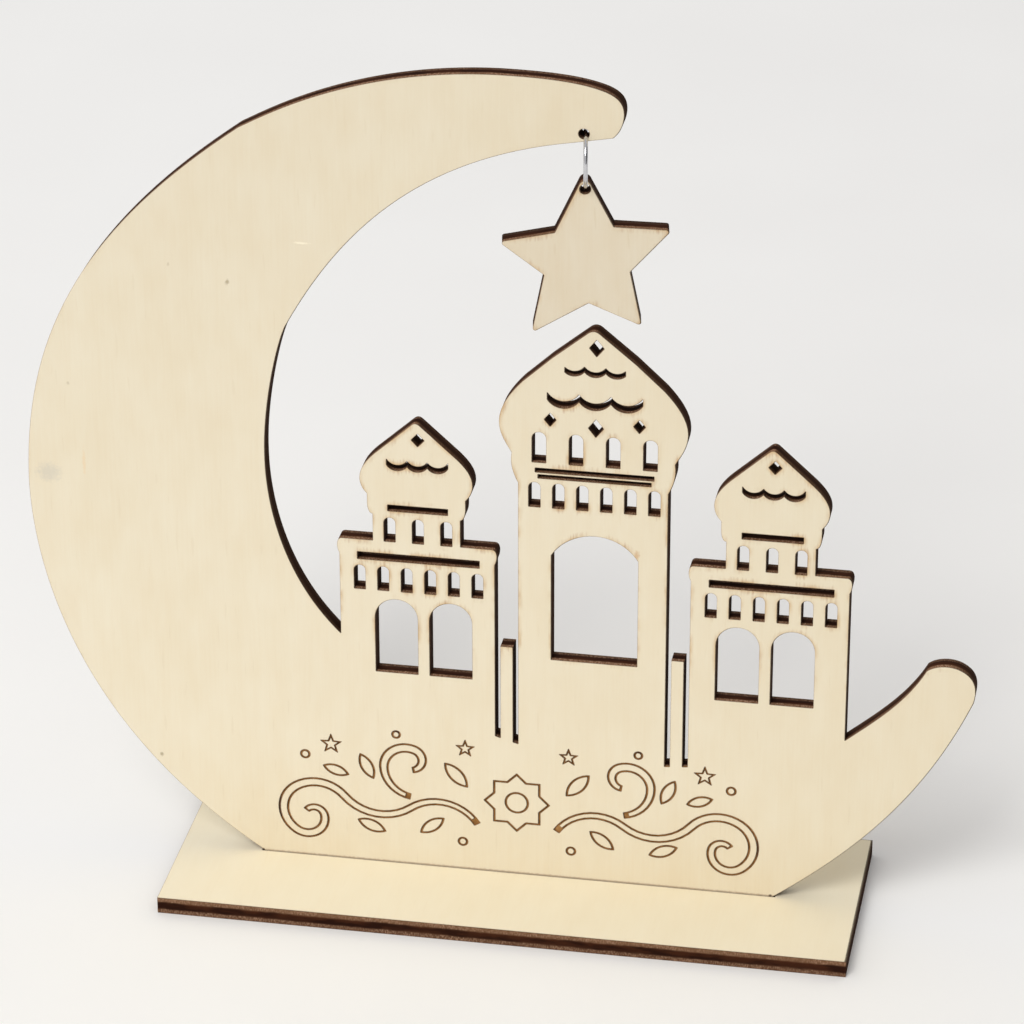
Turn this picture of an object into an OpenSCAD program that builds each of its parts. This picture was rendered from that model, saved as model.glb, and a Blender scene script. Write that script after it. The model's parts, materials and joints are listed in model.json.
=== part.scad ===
// Crescent ornament: a plywood crescent with a three-tower skyline, standing in a
// slotted base plate, with a plywood star hung from its upper horn on a wire ring.
// Millimetres, +Z up. The origin is the middle of the base plate's underside, +X runs
// along the base to the right, and the viewer stands on the -Y side.

/* [Sheet] */
// Thickness of the plywood that every wooden piece is cut from
sheet_t = 3; // [2.4:0.1:3.6]

/* [Crescent] */
// Width of the crescent across its two horns
moon_w = 163; // [136:1:196]
// Height of the crescent above the base plate
moon_h = 149.1; // [125:0.1:180]
// Length of the crescent's flat foot and of the tongue below it
foot_w = 90.2; // [76:0.1:106]
// Bore of the hanging hole, in the crescent and in the star
hole_d = 1.8; // [1.6:0.1:2.4]

/* [Base plate] */
// Length of the base plate
base_l = 120; // [110:1:150]
// Depth of the base plate, front to back
base_d = 41; // [34:1:60]
// Clearance on each face of the tongue in the slot
slot_side_gap = 0.1; // [0.05:0.05:0.2]
// Clearance at each end of the tongue in the slot
slot_end_gap = 0.35; // [0.1:0.05:0.8]

/* [Towers] */
// Width of the middle tower's walls
mid_w = 25.5; // [21:0.1:31]
// Width of each side tower's walls
side_w = 26.9; // [22:0.1:33]
// How much lower the side towers' tips are than the middle tower's
side_drop = 19.4; // [15:0.1:26]
// Offset of the middle tower to the right of the hanging hole
mid_shift = 1.85; // [0:0.05:4]
// Width of the slim posts between the towers
post_w = 2.2; // [1.8:0.1:2.8]
// Width of the slit on each side of a post
slit_w = 0.9; // [0.8:0.05:1.4]
// Offset of a tower's openings to the right of its walls' middle
opening_shift = 0.25; // [0:0.05:0.5]
// Offset of a side tower's arches towards the middle tower
arch_shift = 0.8; // [0:0.1:1.2]

/* [Star] */
// Width of the star across its side points
star_w = 28.3; // [22:0.1:33]
// Height of the star, measured to its points before they are rounded
star_h = 28.3; // [23:0.1:33]
// Distance of the star's hole below its top point before rounding
star_hole_drop = 2.75; // [2.7:0.05:3.6]
// Radius of the star's top point
star_top_r = 1; // [0.4:0.1:1.2]
// Radius of its other points
star_tip_r = 0.4; // [0.3:0.1:0.9]
// Turn of the star about the vertical, right side to the back
star_yaw = 10; // [0:1:15]
// Gap from the notch between the star's lower points to the middle tower's tip
star_clear = 5; // [4:0.1:8]

/* [Ring] */
// Outer diameter of the wire ring
ring_od = 10; // [9:0.1:13]
// Diameter of the ring's wire
wire_d = 0.7; // [0.6:0.05:0.8]
// Turn of the ring about the vertical
ring_yaw = 9.5; // [0:0.5:11]
// Width of the closed split in the wire
split_gap = 0.06; // [0.04:0.01:0.15]
// Place of the split round the ring, from its back towards its top
split_place = -60; // [-70:1:70]
// Least clearance between the wire and the edge of a hole that it hangs in
hang_gap = 0.05; // [0.03:0.01:0.08]

/* [Engraving] */
// Overall width of the engraved flourish
flourish_w = 81; // [70:1:90]
// Height of the flourish's centre above the base plate
flourish_z = 14.2; // [12:0.1:16]
// Width of an engraved line
groove_w = 0.3; // [0.25:0.05:0.5]
// Depth of an engraved line
groove_d = 0.3; // [0.2:0.05:0.5]

/* [Hidden] */

// How far a cut runs past the face that it opens
overrun = 1;
// How finely round stretches are drawn
moon_steps = 32;
tower_steps = 8;
arch_steps = 10;
window_steps = 5;
tip_steps = 6;
spine_degrees = 9;

wood = "burlywood";

// The crescent's foot, as a share of its width
foot_share = foot_w / 2 / moon_w;

// The crescent's outline from the left end of its foot, clockwise. A pair is a corner.
// Three pairs are a curve from the point before: two handles and the end.
// x is a share of the width from the middle of the foot, y a share of the height.
moon_shares = [
    [[-0.499, 0.161], [-0.522, 0.392], [-0.52, 0.476]],
    [[-0.516, 0.661], [-0.441, 0.792], [-0.283, 0.919]],
    [[-0.26, 0.932], [-0.166, 0.998], [-0.018, 1]],
    [[0.028, 1], [0.064, 0.998], [0.09, 0.988]],
    [[0.104, 0.982], [0.109, 0.974], [0.1086, 0.961]],
    [[0.108, 0.952], [0.105, 0.942], [0.0975, 0.935]],
    [0.058, 0.927],
    [[-0.102, 0.899], [-0.183, 0.798], [-0.238, 0.687]],
    [[-0.248, 0.67], [-0.266, 0.583], [-0.265, 0.52]],
    [[-0.265, 0.492], [-0.262, 0.381], [-0.187, 0.299]],
    [[-0.129, 0.221], [-0.018, 0.158], [0.117, 0.158]],
    [[0.184, 0.162], [0.288, 0.168], [0.347, 0.215]],
    [[0.378, 0.244], [0.409, 0.271], [0.4295, 0.314]],
    [[0.439, 0.323], [0.4565, 0.324], [0.467, 0.317]],
    [[0.479, 0.31], [0.484, 0.297], [0.479, 0.277]],
    [[0.4395, 0.172], [0.3825, 0.086], [foot_share, 0]],
];

// Where the towers and posts start, inside the crescent's lower band, as a share of the
// crescent's height
band_foot_share = 0.08;

// Right half of a side tower's outline from the eaves up: shares of the tower's width
// from its middle, and of its height above the base plate
side_shares = [
    [0.5, 0.704],
    [[0.522, 0.717], [0.521, 0.738], [0.483, 0.738]],
    [0.282, 0.738],
    [0.282, 0.797],
    [[0.302, 0.797], [0.314, 0.806], [0.316, 0.82]],
    [0.316, 0.841],
    [[0.346, 0.85], [0.362, 0.862], [0.362, 0.875]],
    [[0.362, 0.895], [0.32, 0.913], [0.26, 0.931]],
    [0.03, 0.9965],
    [[0.015, 1.0005], [0.008, 1.001], [0, 1.001]],
];

// The same for the middle tower
mid_shares = [
    [0.5, 0.726],
    [[0.526, 0.738], [0.559, 0.757], [0.543, 0.779]],
    [[0.594, 0.799], [0.629, 0.8145], [0.6265, 0.8344]],
    [[0.6225, 0.858], [0.561, 0.881], [0.47, 0.905]],
    [0.277, 0.9486],
    [0.049, 0.9943],
    [[0.025, 0.9995], [0.01, 1], [0, 1]],
];

// Window rows: how many, then width and pitch as shares of the tower's width, and sill
// and head as shares of its height
side_row_shares = [
    [6, 0.0725, 0.1517, 0.627, 0.681],
    [3, 0.0732, 0.182, 0.7375, 0.791],
];
mid_row_shares = [
    [4, 0.093, 0.2463, 0.7645, 0.8183],
    [6, 0.0783, 0.1597, 0.685, 0.7293],
];

// Level slots: width as a share of the tower's width, sill and head of its height
side_slot_shares = [[0.785, 0.694, 0.7105], [0.385, 0.8055, 0.8195]];
mid_slot_shares = [[0.79, 0.747, 0.755], [0.753, 0.7365, 0.7436]];

// Scalloped slots of three lobes: lobe radius, pitch and half the slot's length as shares
// of the tower's width, then bottom and slot height as shares of its height
side_scallop_shares = [[0.079, 0.1285, 0.196, 0.8955, 0.0125]];
mid_scallop_shares = [
    [0.087, 0.14, 0.2, 0.9206, 0.009],
    [0.1265, 0.2095, 0.315, 0.863, 0.0124],
];

// Diamonds: place from the tower's middle, then half width and half height
side_diamond_shares = [[0.005, 0.9655, 0.042, 0.0143]];
mid_diamond_shares = [
    [0.01, 0.9715, 0.049, 0.0147],
    [-0.295, 0.8416, 0.04, 0.0119],
    [0.008, 0.832, 0.051, 0.0157],
    [0.295, 0.8406, 0.04, 0.0119],
];

// Arched openings: width and centre as shares of the tower's width, and sill, springing
// and crown as shares of its height
side_arch_shares = [[0.275, -0.1755, 0.4427, 0.566, 0.6092], [0.275, 0.1755, 0.4427, 0.566, 0.6092]];
mid_arch_shares = [[0.581, 0.005, 0.4096, 0.6004, 0.6403]];

// Top of the posts as a share of the side towers' height
post_share = 0.523;

// The flourish's right half, from its centre. A vine is its start, its heading and its
// arcs; a leaf, small star or bead is its place, then a leaf's tilt, then its size.
// All but the angles are shares of the flourish's width.
vine_shares = [
    [0.086, -0.062, 58, [[0.1, -96], [0.105, 88], [0.08, -84], [0.066, -110], [0.04, -140], [0.022, -130]]],
    [0.232, -0.008, 10, [[0.07, 80], [0.05, 110], [0.026, 150]]],
];
leaf_shares = [
    [0.132, 0.055, 48, 0.07],
    [0.185, -0.075, -38, 0.062],
    [0.318, -0.088, 22, 0.062],
    [0.327, 0.058, 64, 0.062],
    [0.395, 0.042, 18, 0.055],
];
small_star_shares = [[0.405, 0.105, 0.021], [0.112, 0.122, 0.018]];
bead_shares = [[0.118, -0.108, 0.009], [0.262, 0.142, 0.008], [0.462, 0.075, 0.009]];
rosette_share = 0.098;
rosette_ring_share = 0.024;
leaf_arc_share = 0.72;
small_star_inner_share = 0.42;

// Widths of a vine's ribbon: its middle and its ends
vine_w = 1.5;
vine_end_w = 0.9;

// The star's points and notches in turn, clockwise from the top: x as a share of its
// width from its hole, y as a share of its height below the top point
star_shares = [
    [-0.002, 0], [0.168, -0.333],
    [0.501, -0.354], [0.264, -0.614],
    [0.334, -0.959], [0.023, -0.813],
    [-0.307, -1], [-0.236, -0.635],
    [-0.499, -0.426], [-0.175, -0.369],
];
low_notch_share = star_shares[5].y;

// The hanging hole in the crescent, as shares of the crescent's width and height
hang_shares = [0.0684, 0.938];
hang_x = hang_shares.x * moon_w;
hang_z = sheet_t + hang_shares.y * moon_h;

// The wire hangs this far below the crescent's hole, and the star's hole as far below
// the wire: inside a hole the wire bends away, and its turn carries it to the side
ring_r = (ring_od - wire_d) / 2;
bend = asin(sheet_t / 2 / cos(ring_yaw) / ring_r);
wire_room = hole_d / 2 - hang_gap - wire_d / 2 / cos(bend);
wire_aside = sheet_t / 2 * tan(ring_yaw);
seat = sqrt(wire_room * wire_room - wire_aside * wire_aside) - ring_r * (1 - cos(bend));
ring_z = hang_z - seat - ring_r;
star_z = ring_z - ring_r - seat;

// Towers: the middle one ends below the star's notch, and the side ones lower still
mid_h = star_z + star_hole_drop + low_notch_share * star_h - star_clear - sheet_t;
side_h = mid_h - side_drop;
mid_x = hang_x + mid_shift;
tower_gap = post_w + 2 * slit_w;
tower_pitch = (mid_w + side_w) / 2 + tower_gap;
post_h = post_share * side_h;

slot_l = foot_w + 2 * slot_end_gap;
slot_d = sheet_t + 2 * slot_side_gap;

// Point of a cubic curve
function curve_point(a, b, c, d, t) =
    pow(1 - t, 3) * a + 3 * pow(1 - t, 2) * t * b + 3 * (1 - t) * t * t * c + pow(t, 3) * d;

// Points of a list of corners and curves that starts from a point
function traced(entries, from, steps, i = 0) =
    i == len(entries) ? [] :
    let (entry = entries[i], curved = is_list(entry[0]))
    concat(
        curved
            ? [for (k = [1:steps]) curve_point(from, entry[0], entry[1], entry[2], k / steps)]
            : [entry],
        traced(entries, curved ? entry[2] : entry, steps, i + 1)
    );

function scaled(points, w, h) = [for (p = points) [p.x * w, p.y * h]];
function mirrored(points) = [for (i = [len(points) - 1:-1:0]) [-points[i].x, points[i].y]];
function dropped_last(points) = [for (i = [0:len(points) - 2]) points[i]];

// The corner at p between a and b, rounded
function rounded_corner(a, p, b, r) =
    let (
        u = (a - p) / norm(a - p),
        v = (b - p) / norm(b - p),
        half = acos(u * v) / 2,
        middle = p + (u + v) / norm(u + v) * r / sin(half),
        start = p + u * r / tan(half) - middle,
        finish = p + v * r / tan(half) - middle,
        turn = sign(cross(start, finish)) * (180 - 2 * half),
        from = atan2(start.y, start.x)
    )
    [for (k = [0:tip_steps])
        let (angle = from + turn * k / tip_steps)
        middle + r * [cos(angle), sin(angle)]];

// Points along a run of arcs, each with the heading there. An arc is a radius as a share
// of the flourish's width and the degrees it turns through, to the left if positive.
function spine(arcs, at, heading, i = 0) =
    i == len(arcs) ? [[at, heading]] :
    let (
        r = arcs[i][0] * flourish_w * sign(arcs[i][1]),
        turn = arcs[i][1],
        n = ceil(abs(turn) / spine_degrees),
        middle = at + r * [-sin(heading), cos(heading)]
    )
    concat(
        [for (k = [0:n - 1])
            let (h = heading + turn * k / n)
            [middle + r * [sin(h), -cos(h)], h]],
        spine(arcs, middle + r * [sin(heading + turn), -cos(heading + turn)], heading + turn, i + 1)
    );

// The outline of a ribbon along a spine, from its point number first to the last but
// first. It is broad in its middle and narrow at its ends, and spread widens it all over.
function ribbon(points, broad, narrow, spread, first) =
    let (
        last = len(points) - 1,
        sides = [for (side = [1, -1])
            [for (i = [first:last - first])
                let (half = (narrow + (broad - narrow) * sin(180 * i / last)) / 2 + spread)
                points[i][0] + side * half * [-sin(points[i][1]), cos(points[i][1])]]]
    )
    concat(sides[0], [for (i = [len(sides[1]) - 1:-1:0]) sides[1][i]]);

// A flat outline in the crescent's plane, as a sheet with its mid plane at y = 0
module sheet(t = sheet_t) {
    rotate([90, 0, 0])
        linear_extrude(t, center = true)
            children();
}

// The same as a cut right through the sheet
module through() {
    sheet(sheet_t + 2 * overrun)
        children();
}

// The same as an engraving in the sheet's front face
module engraved() {
    translate([0, (groove_d - overrun - sheet_t) / 2, 0])
        sheet(groove_d + overrun)
            children();
}

module crescent_outline() {
    start = [-foot_share, 0];
    translate([0, sheet_t])
        polygon(scaled(concat([start], traced(moon_shares, start, moon_steps)), moon_w, moon_h));
}

// A tower's outline, standing inside the crescent's lower band
module tower_outline(w, h, shares) {
    half = traced(shares, shares[0], tower_steps);
    foot = [0.5, band_foot_share * moon_h / h];
    right = concat([foot], half);
    translate([0, sheet_t])
        polygon(scaled(concat(right, mirrored(dropped_last(right))), w, h));
}

// A row of windows with half-round heads
module window_row(w, h, row) {
    spring_share = row[4] - row[1] * w / 2 / h;
    for (i = [0:row[0] - 1])
        arch(w, h, [row[1], (i - (row[0] - 1) / 2) * row[2], row[3], spring_share, row[4]], window_steps);
}

module level_slot(w, h, slot) {
    translate([-slot[0] * w / 2, slot[1] * h])
        square([slot[0] * w, (slot[2] - slot[1]) * h]);
}

module lobes(w, scallop) {
    for (side = [-1:1])
        translate([side * scallop[1] * w, scallop[0] * w])
            circle(scallop[0] * w, $fn = 48);
}

module scalloped_slot(w, h, scallop) {
    translate([0, scallop[3] * h])
        intersection() {
            difference() {
                lobes(w, scallop);
                translate([0, scallop[4] * h])
                    lobes(w, scallop);
            }
            translate([-scallop[2] * w, 0])
                square(2 * [scallop[2] * w, scallop[0] * w]);
        }
}

module diamond(w, h, place) {
    half_w = place[2] * w;
    half_h = place[3] * h;
    translate([place[0] * w, place[1] * h])
        polygon([[half_w, 0], [0, half_h], [-half_w, 0], [0, -half_h]]);
}

// An opening with a flat sill, upright sides and one arc from springing to springing
module arch(w, h, opening, steps) {
    half = opening[0] * w / 2;
    rise = (opening[4] - opening[3]) * h;
    arc_r = (half * half + rise * rise) / 2 / rise;
    reach = atan2(half, arc_r - rise);
    translate([opening[1] * w, opening[4] * h - arc_r])
        polygon(concat(
            [[half, (opening[2] - opening[4]) * h + arc_r]],
            [for (k = [-steps:steps])
                arc_r * [-sin(reach * k / steps), cos(reach * k / steps)]],
            [[-half, (opening[2] - opening[4]) * h + arc_r]]
        ));
}

module tower_openings(w, h, rows, slots, scallops, diamonds, arches, shift) {
    translate([opening_shift, sheet_t]) {
        for (row = rows)
            window_row(w, h, row);
        for (slot = slots)
            level_slot(w, h, slot);
        for (scallop = scallops)
            scalloped_slot(w, h, scallop);
        for (place = diamonds)
            diamond(w, h, place);
        translate([shift, 0])
            for (opening = arches)
                arch(w, h, opening, arch_steps);
    }
}

// A slim post, standing inside the crescent's lower band
module post() {
    foot = band_foot_share * moon_h;
    translate([-post_w / 2, sheet_t + foot])
        square([post_w, post_h - foot]);
}

module skyline() {
    translate([mid_x, 0, 0])
        sheet()
            tower_outline(mid_w, mid_h, mid_shares);
    for (side = [-1, 1]) {
        translate([mid_x + side * tower_pitch, 0, 0])
            sheet()
                tower_outline(side_w, side_h, side_shares);
        translate([mid_x + side * (mid_w + tower_gap) / 2, 0, 0])
            sheet()
                post();
    }
}

module skyline_openings() {
    translate([mid_x, 0, 0])
        through()
            tower_openings(mid_w, mid_h, mid_row_shares, mid_slot_shares, mid_scallop_shares,
                mid_diamond_shares, mid_arch_shares, 0);
    for (side = [-1, 1])
        translate([mid_x + side * tower_pitch, 0, 0])
            through()
                tower_openings(side_w, side_h, side_row_shares, side_slot_shares, side_scallop_shares,
                    side_diamond_shares, side_arch_shares, -side * arch_shift);
}

// The tongue goes through the base plate, flush with its underside
module tongue() {
    sheet()
        translate([-foot_w / 2, 0])
            square([foot_w, sheet_t + overrun]);
}

// One engraved line round a ribbon
module engraved_ribbon(points, broad) {
    difference() {
        polygon(ribbon(points, broad, vine_end_w, groove_w / 2, 0));
        polygon(ribbon(points, broad, vine_end_w, -groove_w / 2, 1));
    }
}

// One engraved line round a pointed leaf, whose two sides are arcs
module engraved_leaf(place) {
    long = place[3] * flourish_w;
    arc_r = long * leaf_arc_share;
    apart = sqrt(arc_r * arc_r - long * long / 4);
    translate([place[0], place[1]] * flourish_w)
        rotate(place[2])
            difference() {
                leaf(arc_r + groove_w / 2, apart);
                leaf(arc_r - groove_w / 2, apart);
            }
}

module leaf(arc_r, apart) {
    intersection() {
        translate([0, apart])
            circle(arc_r, $fn = 96);
        translate([0, -apart])
            circle(arc_r, $fn = 96);
    }
}

// One engraved line round two crossed squares
module engraved_rosette() {
    difference() {
        crossed_squares(rosette_share * flourish_w + groove_w);
        crossed_squares(rosette_share * flourish_w - groove_w);
    }
}

module crossed_squares(side) {
    square(side, center = true);
    rotate(45)
        square(side, center = true);
}

module engraved_circle(r) {
    difference() {
        circle(r + groove_w / 2, $fn = 48);
        circle(r - groove_w / 2, $fn = 48);
    }
}

// One engraved line round a small five-pointed star
module engraved_star(r) {
    difference() {
        five_points(r + groove_w);
        five_points(r - groove_w);
    }
}

module five_points(r) {
    polygon([
        for (i = [0:9])
            (i % 2 == 0 ? r : r * small_star_inner_share) * [sin(36 * i), cos(36 * i)]
    ]);
}

module half_flourish() {
    for (vine = vine_shares)
        engraved_ribbon(spine(vine[3], [vine[0], vine[1]] * flourish_w, vine[2]), vine_w);
    for (place = leaf_shares)
        engraved_leaf(place);
    for (place = small_star_shares)
        translate([place[0], place[1]] * flourish_w)
            engraved_star(place[2] * flourish_w);
    for (place = bead_shares)
        translate([place[0], place[1]] * flourish_w)
            engraved_circle(place[2] * flourish_w);
}

module flourish() {
    engraved_rosette();
    engraved_circle(rosette_ring_share * flourish_w);
    half_flourish();
    mirror([1, 0])
        half_flourish();
}

module crescent_panel() {
    color(wood)
        difference() {
            union() {
                sheet()
                    crescent_outline();
                skyline();
                tongue();
            }
            skyline_openings();
            through()
                translate([hang_x, hang_z])
                    circle(hole_d / 2, $fn = 48);
            translate([0, 0, sheet_t + flourish_z])
                engraved()
                    flourish();
        }
}

module base_plate() {
    color(wood)
        linear_extrude(sheet_t)
            difference() {
                square([base_l, base_d], center = true);
                square([slot_l, slot_d], center = true);
            }
}

// The wire ring stands across the crescent, its split at the back
module jump_ring() {
    split_angle = split_gap / ring_r * 180 / PI;
    color("silver")
        translate([hang_x, 0, ring_z])
            rotate([0, 0, ring_yaw + 90])
                rotate([90, 0, 0])
                    rotate([0, 0, split_place])
                        rotate_extrude(angle = 360 - split_angle, $fn = 96)
                            translate([ring_r, 0])
                                circle(wire_d / 2, $fn = 24);
}

module star_outline() {
    points = scaled(star_shares, star_w, star_h);
    n = len(points);
    polygon([
        for (i = [0:n - 1])
            each i % 2 == 1
                ? [points[i]]
                : rounded_corner(points[(i + n - 1) % n], points[i], points[(i + 1) % n],
                    i == 0 ? star_top_r : star_tip_r)
    ]);
}

module star() {
    color(wood)
        translate([hang_x, 0, star_z])
            rotate([0, 0, star_yaw])
                sheet()
                    difference() {
                        translate([0, star_hole_drop])
                            star_outline();
                        circle(hole_d / 2, $fn = 48);
                    }
}

base_plate();
crescent_panel();
jump_ring();
star();
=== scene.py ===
# %% [markdown]
# # A laser-cut plywood crescent with a hanging star
# The ornament is a flat kit. A crescent with a skyline of domed towers is cut from
# one sheet of three-ply, its tongue stands in a slotted base plate, and a small
# plywood star swings from the upper horn on a split ring of bright wire. The solids
# come ready from the CAD model, in metres, and keep their shapes. This script gives
# them their finishes, the floor, the light and the camera.

# %% Load the frame
import json
import math

import bpy
from mathutils import Euler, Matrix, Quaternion, Vector

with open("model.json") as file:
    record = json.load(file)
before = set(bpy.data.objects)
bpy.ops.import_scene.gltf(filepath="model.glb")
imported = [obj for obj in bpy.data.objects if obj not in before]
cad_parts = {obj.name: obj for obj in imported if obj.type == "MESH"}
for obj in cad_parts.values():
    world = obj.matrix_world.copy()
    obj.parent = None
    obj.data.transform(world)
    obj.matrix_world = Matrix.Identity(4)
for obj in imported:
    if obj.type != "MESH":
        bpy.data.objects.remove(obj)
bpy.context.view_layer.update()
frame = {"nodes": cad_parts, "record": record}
MM = 0.001
print("nodes:", ", ".join(sorted(frame["nodes"])))

# %% [markdown]
# ## Camera
# The photograph was taken with a long lens from the front, a little to the right and
# above, looking down at the ornament. A fixed spot, a line of sight and a very small
# roll say that plainly, and a long lens keeps the towers' walls nearly upright.

# %% Camera
CAMERA_PLACE = Vector((124.80, -695.78, 428.30)) * MM
LINE_OF_SIGHT = Vector((-0.15904, 0.87919, -0.44915))
CAMERA_ROLL = math.radians(-0.105)
SENSOR_WIDTH = 36
LENS = 165.06
NEAREST_SEEN = 0.05
FARTHEST_SEEN = 20
camera = bpy.data.objects.new("camera", bpy.data.cameras.new("camera"))
bpy.context.scene.collection.objects.link(camera)
bpy.context.scene.camera = camera
camera.data.sensor_width = SENSOR_WIDTH
camera.data.lens = LENS
camera.data.clip_start = NEAREST_SEEN
camera.data.clip_end = FARTHEST_SEEN
camera.location = CAMERA_PLACE
camera.rotation_mode = "QUATERNION"
camera.rotation_quaternion = LINE_OF_SIGHT.to_track_quat("-Z", "Y") @ Quaternion((0, 0, 1), CAMERA_ROLL)
print("lens:", LENS, "mm, from", round(CAMERA_PLACE.length, 2), "m")


# %% [markdown]
# ## Node helpers
# Every finish here is a node tree, and a few short helpers keep the trees readable.
# One turns a screen colour into the kind that shaders use. Another adds a node, sets it
# up and fills its inputs with numbers, colours or links from other nodes.


# %% Node helpers
def paint(red, green, blue):
    """A screen colour, 0 to 255, as the linear colour that shaders use."""
    screen = [value / 255 for value in (red, green, blue)]
    linear = [v / 12.92 if v <= 0.04045 else ((v + 0.055) / 1.055) ** 2.4 for v in screen]
    return (*linear, 1)


def fill_inputs(tree, node, inputs):
    """Fills a node's inputs. inputs maps a socket's name or number to a value or a socket."""
    for name, value in inputs.items():
        if isinstance(value, bpy.types.NodeSocket):
            tree.links.new(value, node.inputs[name])
        else:
            node.inputs[name].default_value = value


def add_node(tree, kind, inputs=None, **settings):
    """Adds a node, sets it up and fills its inputs."""
    node = tree.nodes.new(kind)
    for name, value in settings.items():
        setattr(node, name, value)
    fill_inputs(tree, node, inputs or {})
    return node


print("screen grey 128 as a linear colour:", round(paint(128, 128, 128)[0], 3))

# %% [markdown]
# ## Sums, blends and noise
# Most of a tree is sums on numbers, blends of two colours and noise, so each of these
# gets a helper. A noise has its scale in cells per metre, so that its grain can be
# measured on real wood, and a stretch draws it out along an axis.


# %% Sums, blends and noise
def sum_of(tree, operation, *values):
    """One sum on numbers, such as SUBTRACT or ADD."""
    return add_node(tree, "ShaderNodeMath", dict(enumerate(values)), operation=operation).outputs[0]


def product(tree, first, *others):
    """The product of two or more numbers."""
    for value in others:
        first = sum_of(tree, "MULTIPLY", first, value)
    return first


def share_of(tree, value, low, high, new_low=0, new_high=1):
    """Spreads the range low to high over new_low to new_high, and clamps it."""
    inputs = {0: value, 1: low, 2: high, 3: new_low, 4: new_high}
    return add_node(tree, "ShaderNodeMapRange", inputs).outputs[0]


def mixed(tree, amount, first, second, blend="MIX"):
    """A blend of two colours."""
    inputs = {0: amount, 6: first, 7: second}
    return add_node(tree, "ShaderNodeMix", inputs, data_type="RGBA", blend_type=blend).outputs[2]


def axes_of(tree, vector):
    """The X, Y and Z of a vector."""
    return add_node(tree, "ShaderNodeSeparateXYZ", {0: vector}).outputs


def noise(tree, place, cells, stretch=(1, 1, 1), detail=2, roughness=0.5):
    """Noise with its cells per metre, drawn out by a stretch on each axis."""
    scaling = [cells / value for value in stretch]
    mapped = add_node(tree, "ShaderNodeMapping", {"Vector": place, "Scale": scaling})
    inputs = {"Vector": mapped.outputs[0], "Scale": 1, "Detail": detail, "Roughness": roughness}
    return add_node(tree, "ShaderNodeTexNoise", inputs).outputs[0]


# %% [markdown]
# ## Group helpers
# An effect that several materials share is a node group with named inputs and
# outputs, made once and placed in each material with its own values. These helpers
# open a group, close it and place it.


# %% Group helpers
def open_group(name, inputs, outputs):
    """A node group with named sockets. Returns its tree and its inputs by name."""
    tree = bpy.data.node_groups.new(name, "ShaderNodeTree")
    for direction, sockets in (("INPUT", inputs), ("OUTPUT", outputs)):
        for label, kind in sockets.items():
            tree.interface.new_socket(label, in_out=direction, socket_type="NodeSocket" + kind)
    return tree, tree.nodes.new("NodeGroupInput").outputs


def close_group(tree, results):
    """Links a group's results to its output sockets."""
    add_node(tree, "NodeGroupOutput", results)
    print("group:", tree.name, "with", len(tree.nodes), "nodes")


def use_group(tree, group, inputs, label=""):
    """Places a group in a tree. Returns its outputs."""
    return add_node(tree, "ShaderNodeGroup", inputs, node_tree=group, label=label).outputs


# %% [markdown]
# ## Sheet places
# All three wooden pieces are cut from the same sheet, so one finish can serve them if
# each tells it where a point lies in its own sheet: across the grain, how deep below
# the show face, and along the grain. A Mapping node turns the piece's own coordinates
# into that. The crescent stands upright, the base plate lies flat with its grain
# running front to back, and the star hangs turned about the vertical, right under the
# joint that it swings on.

# %% Sheet places
SHEET = 3 * MM
STAR_TURN = math.radians(10)
joint_places = {joint["name"]: joint["pos_m"] for joint in frame["record"]["behaviour"]["joints"]}
star_x = joint_places["star_swing"][0]
sheet_turns = {
    "crescent_panel": Euler((0, 0, 0)),
    "base_plate": Euler((math.radians(90), 0, 0)),
    "star": Euler((0, 0, -STAR_TURN)),
}
sheet_shifts = {
    "crescent_panel": Vector((0, SHEET / 2, 0)),
    "base_plate": Vector((0, SHEET, 0)),
    "star": Vector((-star_x * math.cos(STAR_TURN), star_x * math.sin(STAR_TURN) + SHEET / 2, 0)),
}


def sheet_place(tree, node_name):
    """The point in the sheet of a node: across, below the show face, along the grain."""
    own = add_node(tree, "ShaderNodeTexCoord").outputs["Object"]
    inputs = {"Vector": own, "Rotation": sheet_turns[node_name], "Location": sheet_shifts[node_name]}
    return add_node(tree, "ShaderNodeMapping", inputs).outputs[0]


print("star at x", round(star_x / MM, 2), "mm")

# %% [markdown]
# ## Basswood faces
# The faces are bare sanded basswood: a pale cream with a very faint grain, soft
# lengthwise streaks and a few short darker pores. Noise drawn out along the grain
# gives all three, at three widths. The contrast stays low, because the real sheet
# looks almost plain from arm's length.


# %% Basswood face group
def weighed(tree, parts):
    """The sum of several numbers, each times its weight."""
    total = 0
    for value, weight in parts:
        total = sum_of(tree, "MULTIPLY_ADD", value, weight, total)
    return total


BAND_CELLS = 300
FIBRE_CELLS = 2400
CLOUD_CELLS = 60
PORE_CELLS = 1500
DARKER_WOOD = paint(249, 244, 236)
LIGHTER_WOOD = paint(16, 14, 10)
PORE_COLOUR = paint(205, 186, 150)
face_group, entry = open_group(
    "basswood face",
    {"Place": "Vector", "Wood": "Color", "Streaks": "Float", "Pores": "Float"},
    {"Color": "Color", "Height": "Float"},
)
bands = noise(face_group, entry["Place"], BAND_CELLS, (1, 1, 3), detail=3)
fibres = noise(face_group, entry["Place"], FIBRE_CELLS, (1, 1, 30), detail=3, roughness=0.6)
clouds = noise(face_group, entry["Place"], CLOUD_CELLS)
darker = mixed(face_group, 1, entry["Wood"], DARKER_WOOD, "MULTIPLY")
lighter = mixed(face_group, 1, entry["Wood"], LIGHTER_WOOD, "SCREEN")
tone = weighed(face_group, ((bands, 0.4), (fibres, 0.25), (clouds, 0.35)))
toned = mixed(face_group, share_of(face_group, tone, 0.36, 0.64), lighter, darker)
grained = mixed(face_group, entry["Streaks"], entry["Wood"], toned)
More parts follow.
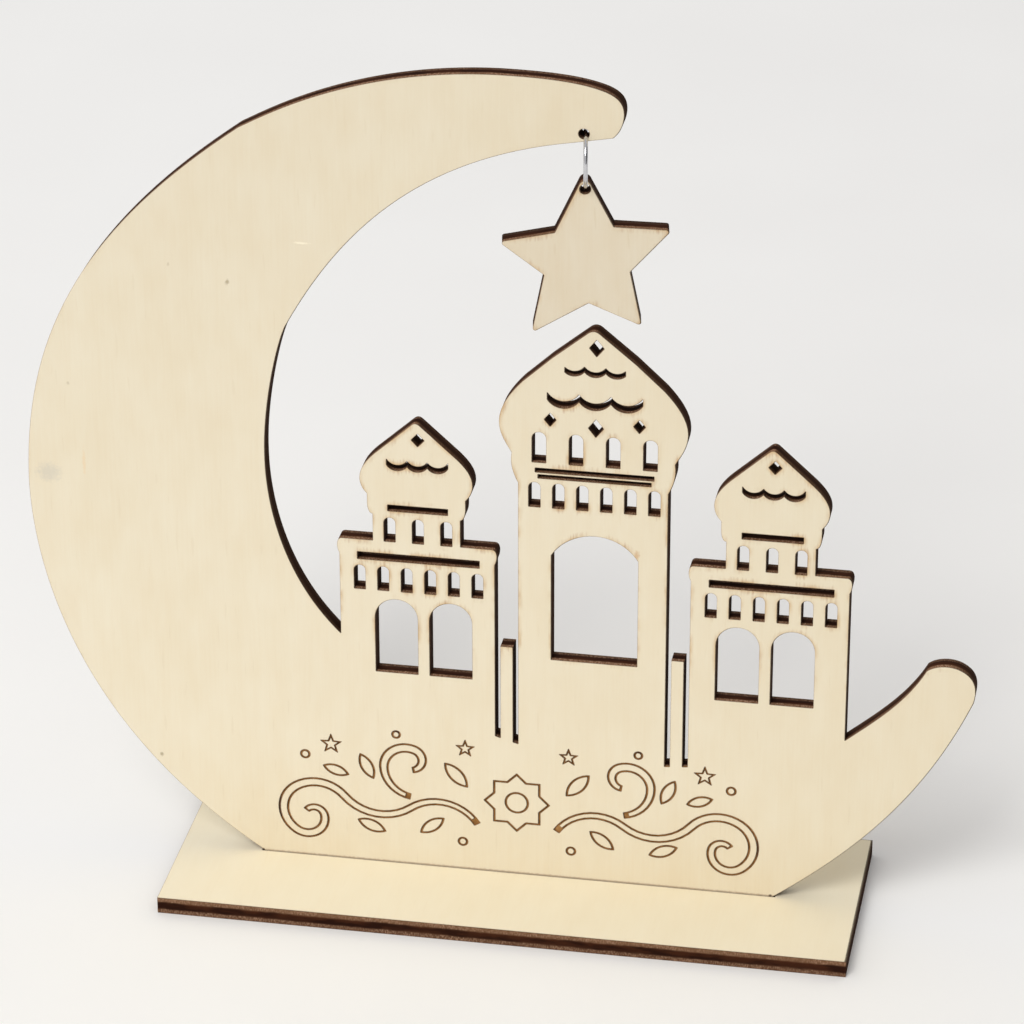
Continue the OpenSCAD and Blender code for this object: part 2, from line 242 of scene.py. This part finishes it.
pore_noise = noise(face_group, entry["Place"], PORE_CELLS, (1, 1, 9), detail=0)
pores = product(face_group, share_of(face_group, pore_noise, 0.74, 0.8), entry["Pores"])
close_group(face_group, {"Color": mixed(face_group, pores, grained, PORE_COLOUR), "Height": fibres})

# %% [markdown]
# ## Plies of a cut edge
# The laser chars the edge as it cuts. The two outer plies come out brown, the core
# ply is nearly black, and the very edge of each face is darker again. A colour ramp
# over the depth in the sheet lays out the plies, and a little noise makes their
# borders waver. The ramp runs from the show face, 0, to the far face, 1.

# %% Plies of a cut edge
WAVER_CELLS = 700
WAVER_SHARE = 0.025
ply_colours = [
    (0.0, paint(94, 63, 42)),
    (0.08, paint(119, 87, 63)),
    (0.27, paint(106, 75, 54)),
    (0.36, paint(66, 36, 22)),
    (0.64, paint(58, 32, 20)),
    (0.73, paint(88, 60, 43)),
    (0.92, paint(98, 70, 51)),
    (1.0, paint(76, 51, 36)),
]
edge_group, entry = open_group(
    "charred ply edge",
    {"Place": "Vector", "Sheet": "Float", "Speckle": "Float", "Smoked": "Float", "Shade and burn": "Float"},
    {"Color": "Color", "Height": "Float"},
)
depth_share = sum_of(edge_group, "DIVIDE", axes_of(edge_group, entry["Place"])["Y"], entry["Sheet"])
waver_noise = noise(edge_group, entry["Place"], WAVER_CELLS, (1, 40, 1))
waver = share_of(edge_group, waver_noise, 0.25, 0.75, -WAVER_SHARE, WAVER_SHARE)
ply_share = sum_of(edge_group, "ADD", depth_share, waver)
plies = add_node(edge_group, "ShaderNodeValToRGB", {0: ply_share})
for place_share, colour in ply_colours[1:-1]:
    plies.color_ramp.elements.new(place_share)
for element, (place_share, colour) in zip(plies.color_ramp.elements, ply_colours):
    element.position = place_share
    element.color = colour
print("colours through the sheet:", len(plies.color_ramp.elements))

# %% [markdown]
# ## Char on a cut edge
# The outer plies are speckled where the beam's steps left fresh fibre, in short
# strokes through the sheet, and the core has darker streaks. Both are noise, kept to
# their plies by the distance from the middle of the sheet. Smoke darkens the ply on
# the far side of the crescent and star. Last comes the darkest colour: painted shade
# on every wall that faces right, and a little burn on walls that face left.

# %% Char on a cut edge
SPECKLE_CELLS = 6400
PATCH_CELLS = 180
STREAK_CELLS = 420
SPECKLE_COLOUR = paint(164, 130, 106)
STREAK_COLOUR = paint(34, 17, 12)
SMOKE_COLOUR = paint(56, 40, 32)
SHADE_AND_BURN_COLOUR = paint(50, 32, 22)
from_middle = sum_of(edge_group, "ABSOLUTE", sum_of(edge_group, "SUBTRACT", ply_share, 0.5))
outer_ply = share_of(edge_group, from_middle, 0.2, 0.27)
speckle_noise = noise(edge_group, entry["Place"], SPECKLE_CELLS, (1, 3.2, 1))
speckles = share_of(edge_group, speckle_noise, 0.44, 0.68)
patches = share_of(edge_group, noise(edge_group, entry["Place"], PATCH_CELLS, detail=1), 0.3, 0.6, 0.4, 1)
speckles = product(edge_group, speckles, outer_ply, patches, entry["Speckle"])
charred = mixed(edge_group, speckles, plies.outputs[0], SPECKLE_COLOUR)
streak_noise = noise(edge_group, entry["Place"], STREAK_CELLS, (2.5, 0.5, 2.5), detail=3)
streaks = share_of(edge_group, streak_noise, 0.42, 0.6, 0, 0.75)
streaks = product(edge_group, streaks, sum_of(edge_group, "SUBTRACT", 1, outer_ply))
charred = mixed(edge_group, streaks, charred, STREAK_COLOUR)
smoked = product(edge_group, share_of(edge_group, ply_share, 0.5, 0.8), entry["Smoked"])
charred = mixed(edge_group, smoked, charred, SMOKE_COLOUR)
# The darkest colour: painted shade on walls that face right, a little burn on walls that face left.
charred = mixed(edge_group, entry["Shade and burn"], charred, SHADE_AND_BURN_COLOUR)
close_group(edge_group, {"Color": charred, "Height": speckle_noise})

# %% [markdown]
# ## Scorch round the cuts
# Smoke and heat leave a hair-thin brown line on a face right at a cut, and a faint
# amber halo a millimetre wide that comes and goes. Beside walls that face right the
# face is darkened in a thin rim, in the dark of those walls, which widens their
# painted shade, and smoke crept along the grain in short dark ticks. This group turns
# readings of how near a wall is into those four marks.

# %% Scorch group
HALO_CELLS = 170
TICK_CELLS = 2300
HALO_COLOUR = paint(206, 172, 122)
TICK_COLOUR = paint(170, 124, 84)
LINE_COLOUR = paint(110, 80, 54)
PAINTED_SHADE_RIM_COLOUR = paint(50, 34, 25)
readings = ("Near", "Touching", "Right wall near", "Along", "Halo")
scorch_group, entry = open_group(
    "scorch",
    {"Place": "Vector", "Face": "Color", **dict.fromkeys(readings, "Float")},
    {"Color": "Color"},
)
patches = share_of(scorch_group, noise(scorch_group, entry["Place"], HALO_CELLS), 0.45, 0.62, 0.05, 1)
halo = product(scorch_group, share_of(scorch_group, entry["Near"], 0, 0.5), patches, entry["Halo"])
scorched = mixed(scorch_group, halo, entry["Face"], HALO_COLOUR)
tick_noise = noise(scorch_group, entry["Place"], TICK_CELLS, (1, 1, 7), detail=1)
ticks = share_of(scorch_group, tick_noise, 0.45, 0.7, 0, 0.7)
tick_reach = share_of(scorch_group, entry["Along"], 0.03, 0.4)
ticks = product(scorch_group, ticks, tick_reach, patches, entry["Halo"])
scorched = mixed(scorch_group, ticks, scorched, TICK_COLOUR)
line = share_of(scorch_group, entry["Touching"], 0.1, 0.4, 0, 0.65)
scorched = mixed(scorch_group, line, scorched, LINE_COLOUR)
# Painted shade: a thin rim beside walls that face right, in their dark colour.
painted_shade_rim = share_of(scorch_group, entry["Right wall near"], 0.12, 0.3, 0, 0.9)
close_group(scorch_group, {"Color": mixed(scorch_group, painted_shade_rim, scorched, PAINTED_SHADE_RIM_COLOUR)})

# %% [markdown]
# ## Nearness of a cut
# Scorch follows every cut, so it can't be placed by hand. An Ambient Occlusion node
# that looks inwards from a face finds the walls nearby within a reach. Given a normal
# of its own it looks towards one side instead: towards the walls that face right for
# the rim of painted shade, and both ways along the grain for the ticks. Such a node
# stays in the material and feeds the group a plain number.

# %% Nearness of a cut
HALO_REACH = 0.8 * MM
LINE_REACH = 0.14 * MM
TICK_REACH = 1.1 * MM
LOOKS = 12


def nearness(tree, reach, towards=None):
    """How much wall a look inwards, or towards a side, meets within reach, 0 to 0.5."""
    inputs = {"Distance": reach}
    if towards:
        turned = add_node(tree, "ShaderNodeVectorMath", {0: -Vector(towards)}, operation="NORMALIZE")
        inputs["Normal"] = turned.outputs[0]
    settings = {"inside": True, "only_local": True, "samples": LOOKS}
    look = add_node(tree, "ShaderNodeAmbientOcclusion", inputs, **settings)
    return sum_of(tree, "SUBTRACT", 1, look.outputs["AO"])


def scorched_face(tree, place, colour, halo, rim_reach, rim_side, grain):
    """A face's colour with the scorch round its cuts, and the rim of painted shade beside walls that face
    right.
    """
    upwards = nearness(tree, TICK_REACH, grain)
    downwards = nearness(tree, TICK_REACH, -Vector(grain))
    inputs = {
        "Place": place,
        "Face": colour,
        "Near": nearness(tree, HALO_REACH),
        "Touching": nearness(tree, LINE_REACH),
        "Right wall near": nearness(tree, rim_reach, rim_side),
        "Along": sum_of(tree, "MAXIMUM", upwards, downwards),
        "Halo": halo,
    }
    return use_group(tree, scorch_group, inputs)["Color"]


print("reach of the halo:", round(HALO_REACH / MM, 2), "mm, of a tick:", round(TICK_REACH / MM, 2), "mm")

# %% [markdown]
# ## Less scorch on the crescent's body
# The towers, with their many small openings, took most of the smoke, and the long
# outline of the crescent is nearly clean. A soft-edged zone round the skyline keeps
# the halo and ticks there: right of the body, over the foot and under the upper horn.

# %% Zone of the towers
TOWERS_LEFT = -38 * MM
TOWERS_LOW = 44 * MM
TOWERS_HIGH = 98 * MM
ZONE_FADE = 4 * MM
BODY_HALO_SHARE = 0.12


def halo_near_towers(tree, across, along, halo):
    """The strength of the halo: full round the skyline, faint on the crescent's body."""
    past_body = share_of(tree, across, TOWERS_LEFT, TOWERS_LEFT + ZONE_FADE)
    over_foot = share_of(tree, along, TOWERS_LOW, TOWERS_LOW + ZONE_FADE)
    under_horn = share_of(tree, along, TOWERS_HIGH, TOWERS_HIGH - ZONE_FADE)
    in_zone = product(tree, over_foot, under_horn, past_body)
    return share_of(tree, in_zone, 0, 1, BODY_HALO_SHARE * halo, halo)


print("zone of the towers:", round((TOWERS_HIGH - TOWERS_LOW) / MM), "mm high")

# %% [markdown]
# ## Marks in the wood
# The crescent has a few marks of its own: small dark specks, one pale fleck, a grey
# smudge at its widest point and a short amber streak beside that. A soft brown line
# runs along its foot, where it meets the base, and ends in a dark dot on each side:
# these are painted shade in that joint, together with the char of the slot's cut.
# Each is a soft round or drawn-out spot at its own place, so one group serves them
# all: it measures how far a point is from the spot, in the spot's own half sizes.


# %% Spot group
def vector_sum(tree, operation, first, second):
    """One sum on two vectors."""
    inputs = {0: first, 1: second}
    return add_node(tree, "ShaderNodeVectorMath", inputs, operation=operation).outputs[0]


SPOT_CELLS = 1800
spot_group, entry = open_group(
    "spot",
    {"Place": "Vector", "Spot": "Vector", "Size": "Vector"},
    {"Mask": "Float"},
)
away = vector_sum(spot_group, "SUBTRACT", entry["Place"], entry["Spot"])
away = vector_sum(spot_group, "DIVIDE", away, entry["Size"])
length = add_node(spot_group, "ShaderNodeVectorMath", {0: away}, operation="LENGTH").outputs["Value"]
ragged = share_of(spot_group, noise(spot_group, entry["Place"], SPOT_CELLS), 0.3, 0.7, -0.25, 0.25)
close_group(spot_group, {"Mask": share_of(spot_group, sum_of(spot_group, "ADD", length, ragged), 1.05, 0.35)})

# %% Marks on the crescent
# Each has its place across and up, its half width and half height, its strength and its colour.
panel_marks_and_foot_shade = {
    "dark speck": ((-48.84, 112.18), (0.45, 0.6), 0.6, paint(150, 132, 98)),
    "faint speck": ((-58.83, 114.68), (0.3, 0.4), 0.35, paint(170, 150, 118)),
    "speck by the edge": ((-77.05, 91.36), (0.35, 0.35), 0.35, paint(170, 152, 122)),
    "low speck": ((-63.25, 20.65), (0.4, 0.5), 0.6, paint(150, 132, 98)),
    "pale fleck": ((-36.08, 120.18), (1.7, 0.25), 0.6, paint(255, 246, 222)),
    "grey smudge": ((-81.2, 74.25), (2.6, 2.1), 0.32, paint(186, 184, 178)),
    "amber streak": ((-74.9, 76.67), (0.35, 2.8), 0.35, paint(232, 200, 150)),
    "amber spot over the arch": ((20.5, 67.2), (0.6, 1.1), 0.55, paint(196, 148, 92)),
    # Painted shade where the crescent meets the base, together with char: the line and its two end dots.
    "painted shade and char along the foot": ((0, 3.05), (120, 0.3), 0.5, paint(150, 112, 78)),
    "left dot at the foot": ((-45.4, 3.1), (0.35, 0.4), 0.8, paint(70, 50, 36)),
    "right dot at the foot": ((44.6, 3.1), (0.35, 0.4), 0.8, paint(70, 50, 36)),
}


def marked_face(tree, place, colour, marks):
    """A face's colour with its marks, whose places and sizes are in millimetres."""
    for name, ((across, along), (wide, tall), strength, mark_colour) in marks.items():
        spot = Vector((across, 0, along)) * MM
        size = Vector((wide, 1, tall)) * MM
        mask = use_group(tree, spot_group, {"Place": place, "Spot": spot, "Size": size}, name)["Mask"]
        colour = mixed(tree, product(tree, mask, strength), colour, mark_colour)
    return colour


print("marks on the crescent:", len(panel_marks_and_foot_shade))

# %% [markdown]
# ## Wood of a face
# The cream of the sheet changes a little from the foot to the top of the crescent, and
# a painted shade makes every piece a trace darker towards the right. Two broad blends
# set that tone before the grain is laid over it.

# %% Wood of a face
FOOT_HEIGHT = 20 * MM
TOP_HEIGHT = 140 * MM
# Painted shade: every wooden piece a trace darker towards the right.
PAINTED_WOOD_SHADE_FROM = -20 * MM
PAINTED_WOOD_SHADE_TO = 60 * MM
PAINTED_WOOD_SHADE = paint(251, 250, 248)


def shaded_toned_wood(tree, across, along, woods):
    """The wood's colour, with a painted shade towards the right. woods has the colour at the foot and the one
    at the top.
    """
    height_share = share_of(tree, along, FOOT_HEIGHT, TOP_HEIGHT)
    painted_wood_shade_share = share_of(tree, across, PAINTED_WOOD_SHADE_FROM, PAINTED_WOOD_SHADE_TO)
    return mixed(tree, painted_wood_shade_share, mixed(tree, height_share, *woods), PAINTED_WOOD_SHADE, "MULTIPLY")


print("tone at the right, of full:", [round(value, 2) for value in PAINTED_WOOD_SHADE[:3]])

# %% [markdown]
# ## Edge of a piece
# How a wall looks depends on where it faces. Walls that face right get a painted shade
# as dark as char, and those that face left are a little burnt. The level tops get more
# pale speckle, a painted light. The solid's own normal tells that, so it holds when the
# ring or star swings.

# %% Edge of a piece
# Painted shade on walls that face right, and a little burn on walls that face left.
RIGHT_WALL_PAINTED_SHADE = 0.85
LEFT_BURN = 0.3
# Painted light: level tops get more pale speckle.
PAINTED_TOP_LIGHT = 1.6


def charred_edge(tree, place, speckle, smoked):
    """The outputs of the charred edge, set up for where the wall faces."""
    facing = axes_of(tree, add_node(tree, "ShaderNodeTexCoord").outputs["Normal"])
    # Painted shade on walls that face right.
    right_wall_painted_shade = share_of(tree, facing["X"], 0.1, 0.8, 0, RIGHT_WALL_PAINTED_SHADE)
    left_burn = share_of(tree, facing["X"], -0.5, -0.75, 0, LEFT_BURN)
    inputs = {
        "Place": place,
        "Sheet": SHEET,
        # Painted light on level tops: more pale speckle.
        "Speckle": share_of(tree, facing["Z"], 0.8, 1, speckle, PAINTED_TOP_LIGHT * speckle),
        "Smoked": smoked,
        "Shade and burn": sum_of(tree, "ADD", right_wall_painted_shade, left_burn),
    }
    return use_group(tree, edge_group, inputs)


# Walls that face right get painted shade, walls that face left a little burn.
print("burnt, facing right:", RIGHT_WALL_PAINTED_SHADE, "and left:", LEFT_BURN)

# %% [markdown]
# ## Engraved lines
# The flourish low on the crescent is engraved with a light pass of the laser, so the
# floors of its grooves are toasted brown, not charred. They are the only surfaces just
# under the show face in that part of the crescent, so a box finds them.

# %% Engraved lines
FACE_DEPTH = 0.01 * MM
GROOVE_DEPTH = 0.3 * MM
FLOURISH_HALF = 42 * MM
FLOURISH_LOW = 4 * MM
FLOURISH_HIGH = 29 * MM
TOAST_CELLS = 900
DARK_TOAST = paint(150, 108, 62)
PALE_TOAST = paint(184, 140, 90)


def toasted_grooves(tree, place, colour):
    """The edge's colour, with the toasted brown of the grooves."""
    across, depth, along = axes_of(tree, place)
    shallow = sum_of(tree, "LESS_THAN", depth, GROOVE_DEPTH + FACE_DEPTH)
    inside = sum_of(tree, "LESS_THAN", sum_of(tree, "ABSOLUTE", across), FLOURISH_HALF)
    above = sum_of(tree, "GREATER_THAN", along, FLOURISH_LOW)
    below = sum_of(tree, "LESS_THAN", along, FLOURISH_HIGH)
    toast = share_of(tree, noise(tree, place, TOAST_CELLS, detail=1), 0.35, 0.65)
    toasted = mixed(tree, toast, DARK_TOAST, PALE_TOAST)
    return mixed(tree, product(tree, shallow, inside, above, below), colour, toasted)


print("grooves:", round(GROOVE_DEPTH / MM, 2), "mm deep")

# %% [markdown]
# ## Plywood material
# One function builds the plywood for a piece from the steps above. Points at the depth
# of a face get the basswood and its scorch, and points between the faces get the
# charred plies. A low bump follows the grain and the beam's steps. Bare wood and char
# hardly shine, so the specular level is close to nothing.

# %% Plywood material
FACE_ROUGHNESS = 0.62
EDGE_ROUGHNESS = 0.8
SPECULAR_LEVEL = 0.02
FIBRE_HEIGHT = 0.3
BUMP_STRENGTH = 0.25
BUMP_DISTANCE = 0.05 * MM


def plywood(
    name, node_name, woods, streaks, pores, halo, speckle, smoked, rim_reach, rim_side, grain, marks, towers
):
    """A material for one wooden piece. towers says that it has the skyline and the grooves."""
    material = bpy.data.materials.new(name)
    material.use_nodes = True
    tree = material.node_tree
    place = sheet_place(tree, node_name)
    across, depth, along = axes_of(tree, place)
    wood = shaded_toned_wood(tree, across, along, woods)
    face = use_group(tree, face_group, {"Place": place, "Wood": wood, "Streaks": streaks, "Pores": pores})
    face_colour = marked_face(tree, place, face["Color"], marks)
    edge = charred_edge(tree, place, speckle, smoked)
    edge_colour = edge["Color"]
    if towers:
        halo = halo_near_towers(tree, across, along, halo)
        edge_colour = toasted_grooves(tree, place, edge_colour)
    face_colour = scorched_face(tree, place, face_colour, halo, rim_reach, rim_side, grain)
    from_middle = sum_of(tree, "ABSOLUTE", sum_of(tree, "SUBTRACT", depth, SHEET / 2))
    on_edge = sum_of(tree, "LESS_THAN", from_middle, SHEET / 2 - FACE_DEPTH)
    fibre_height = product(tree, face["Height"], FIBRE_HEIGHT)
    height = sum_of(tree, "ADD", fibre_height, product(tree, edge["Height"], on_edge))
    bump_inputs = {"Height": height, "Strength": BUMP_STRENGTH, "Distance": BUMP_DISTANCE}
    shader_inputs = {
        "Base Color": mixed(tree, on_edge, face_colour, edge_colour),
        "Roughness": share_of(tree, on_edge, 0, 1, FACE_ROUGHNESS, EDGE_ROUGHNESS),
        "Specular IOR Level": SPECULAR_LEVEL,
        "Normal": add_node(tree, "ShaderNodeBump", bump_inputs).outputs[0],
    }
    fill_inputs(tree, tree.nodes["Principled BSDF"], shader_inputs)
    print("material:", name, "with", len(tree.nodes), "nodes")
    return material


# %% [markdown]
# ## Wood of each piece
# The crescent took the most smoke, the base plate came out cleanest, and the star is a
# shade browner than both. Their grain runs upright, or front to back where the plate
# lies flat, and the values say how strong each mark of the cutting is on a piece.

# %% Crescent's wood
# The rim of painted shade lies beside walls that face this way: right and a little up.
UPRIGHT_RIM_SIDE = (1, 0, 0.25)
UPRIGHT_GRAIN = (0, 0, 1)
panel_wood = plywood(
    "crescent basswood",
    "crescent_panel",
    woods=(paint(239, 229, 205), paint(227, 217, 194)),
    streaks=0.7,
    pores=0.1,
    halo=0.8,
    speckle=1,
    smoked=0.5,
    rim_reach=0.17 * MM,
    rim_side=UPRIGHT_RIM_SIDE,
    grain=UPRIGHT_GRAIN,
    marks=panel_marks_and_foot_shade,
    towers=True,
)

# %% Base plate's wood
BASE_CREAM = paint(247, 238, 213)
base_wood = plywood(
    "base basswood",
    "base_plate",
    woods=(BASE_CREAM, BASE_CREAM),
    streaks=0.4,
    pores=0.03,
    halo=0.1,
    speckle=0.9,
    smoked=0,
    rim_reach=0.4 * MM,
    rim_side=(1, 0, 0),
    grain=(0, 1, 0),
    marks={},
    towers=False,
)

# %% Star's wood
STAR_CREAM = paint(226, 215, 193)
star_wood = plywood(
    "star basswood",
    "star",
    woods=(STAR_CREAM, STAR_CREAM),
    streaks=0.8,
    pores=0.2,
    halo=0.6,
    speckle=0.5,
    smoked=0.9,
    rim_reach=0.25 * MM,
    rim_side=UPRIGHT_RIM_SIDE,
    grain=UPRIGHT_GRAIN,
    marks={},
    towers=False,
)

# %% [markdown]
# ## Finished wooden pieces
# Each piece is a CAD node that keeps its mesh: only the material in its slot is new.
# Nothing is bevelled or smoothed, because a laser leaves the sheet's edges sharp.


# %% Finished wooden pieces
def finish_node(node_name, material):
    """Puts a material on a CAD node, in place of the plain one it came with."""
    mesh = frame["nodes"][node_name].data
    mesh.materials.clear()
    mesh.materials.append(material)


for node_name, slot_name, material in (
    ("crescent_panel", "panel_plywood", panel_wood),
    ("base_plate", "base_plywood", base_wood),
    ("star", "star_plywood", star_wood),
):
    finish_node(node_name, material)
    print("finished:", node_name)

# %% [markdown]
# ## Wire ring
# The ring is drawn steel wire with a bright plating, a little scuffed from being
# pulled open and shut. It needs next to no colour of its own: a metal with low
# roughness takes its look from the room, and faint noise along the wire breaks up
# the highlight.

# %% Wire ring
SCUFF_CELLS = 2500
BRIGHT_PLATING = paint(214, 214, 216)
SCUFFED_PLATING = paint(192, 192, 196)
wire = bpy.data.materials.new("bright plated wire")
wire.use_nodes = True
tree = wire.node_tree
own = add_node(tree, "ShaderNodeTexCoord").outputs["Object"]
scuffs = noise(tree, own, SCUFF_CELLS, detail=3)
wire_inputs = {
    "Base Color": mixed(tree, scuffs, BRIGHT_PLATING, SCUFFED_PLATING),
    "Roughness": share_of(tree, scuffs, 0.3, 0.7, 0.08, 0.22),
    "Metallic": 1,
}
fill_inputs(tree, tree.nodes["Principled BSDF"], wire_inputs)
finish_node("jump_ring", wire)
print("finished: jump_ring")

# %% [markdown]
# ## Floor
# The ornament stands on a sheet of white card. A large flat plane does, and it runs
# far enough back to fill the whole view. It lies a hair below the base plate, so that
# the two faces don't flicker through each other.

# %% Floor
FLOOR_SIZE = 6
FLOOR_DROP = 0.02 * MM
half_floor = FLOOR_SIZE / 2
corners = [(x * half_floor, y * half_floor, 0) for x, y in ((-1, -1), (1, -1), (1, 1), (-1, 1))]
floor_mesh = bpy.data.meshes.new("floor")
floor_mesh.from_pydata(corners, [], [(0, 1, 2, 3)])
floor = bpy.data.objects.new("floor", floor_mesh)
bpy.context.scene.collection.objects.link(floor)
floor.location.z = -FLOOR_DROP
print("floor:", FLOOR_SIZE, "m square")

# %% [markdown]
# ## White card
# Card is a plain diffuse surface, so it gets a rough Principled shader with a trace of
# unevenness, a painted shade that makes it a little darker towards the right and a
# painted light that makes it a little paler far off. Its tone is the sum of those three,
# and slides between two near whites.

# %% White card
CARD_CELLS = 14
DARKER_CARD = paint(243, 242, 240)
PALER_CARD = paint(255, 255, 253)
CARD_ROUGHNESS = 0.9
CARD_SPECULAR = 0.1
card = bpy.data.materials.new("white card")
card.use_nodes = True
tree = card.node_tree
own = add_node(tree, "ShaderNodeTexCoord").outputs["Object"]
floor_place = axes_of(tree, own)
# Painted shade towards the right and painted light far off, on top of the card's unevenness.
painted_shade_rightwards = share_of(tree, floor_place["X"], -0.12, 0.16, 0.25, -0.15)
painted_light_far_off = share_of(tree, floor_place["Y"], 0.15, 0.6, 0, 0.35)
uneven = share_of(tree, noise(tree, own, CARD_CELLS), 0.3, 0.7, 0.4, 0.6)
card_tone_and_painted_light = sum_of(tree, "ADD", uneven, sum_of(tree, "ADD", painted_shade_rightwards, painted_light_far_off))
card_inputs = {
    "Base Color": mixed(tree, card_tone_and_painted_light, DARKER_CARD, PALER_CARD),
    "Roughness": CARD_ROUGHNESS,
    "Specular IOR Level": CARD_SPECULAR,
}
fill_inputs(tree, tree.nodes["Principled BSDF"], card_inputs)
floor_mesh.materials.append(card)
print("material:", card.name, "with", len(tree.nodes), "nodes")

# %% [markdown]
# ## Light
# Plain soft studio light. A pale world does most of the work, so that colours come
# out about as they are written. It is dim on one side only, low on the right, where
# the real studio had no reflector: that keeps the right-hand cut edges dark and puts
# a dark streak in the wire. One large panel, high in front and a little to the left,
# adds the gentle shade behind the crescent.

# %% World
WORLD_LEVEL = 0.66
WORLD_COLOUR = (1, 0.99, 1, 1)
DIM_COLOUR = (0.08, 0.08, 0.08, 1)
DIM_SIDE = Vector((1, -0.25, -0.1)).normalized()
world = bpy.data.worlds.new("studio")
bpy.context.scene.world = world
world.use_nodes = True
tree = world.node_tree
outlook = add_node(tree, "ShaderNodeTexCoord").outputs["Generated"]
dot_inputs = {0: outlook, 1: DIM_SIDE}
sideways = add_node(tree, "ShaderNodeVectorMath", dot_inputs, operation="DOT_PRODUCT").outputs["Value"]
world_colour = mixed(tree, share_of(tree, sideways, 0.5, 0.85), WORLD_COLOUR, DIM_COLOUR)
fill_inputs(tree, tree.nodes["Background"], {"Color": world_colour, "Strength": WORLD_LEVEL})
print("world level:", WORLD_LEVEL)

# %% Soft panel light
LAMP_SIZE = 1
LAMP_WATTS = 27.8
LAMP_COLOUR = (1, 0.99, 0.965)
LAMP_FAR = 2.4
LAMP_SIDE = Vector((-0.22, -0.67, 0.70)).normalized()
LAMP_AIM = Vector((0, 0, 60)) * MM
panel_light = bpy.data.lights.new("soft panel", "AREA")
panel_light.shape = "SQUARE"
panel_light.size = LAMP_SIZE
panel_light.energy = LAMP_WATTS
panel_light.color = LAMP_COLOUR
lamp = bpy.data.objects.new("soft panel", panel_light)
bpy.context.scene.collection.objects.link(lamp)
lamp.location = LAMP_AIM + LAMP_SIDE * LAMP_FAR
lamp.rotation_mode = "QUATERNION"
lamp.rotation_quaternion = (LAMP_AIM - lamp.location).to_track_quat("-Z", "Y")
bpy.context.scene.view_settings.view_transform = "Standard"
print("lamp:", LAMP_WATTS, "W,", LAMP_FAR, "m away")
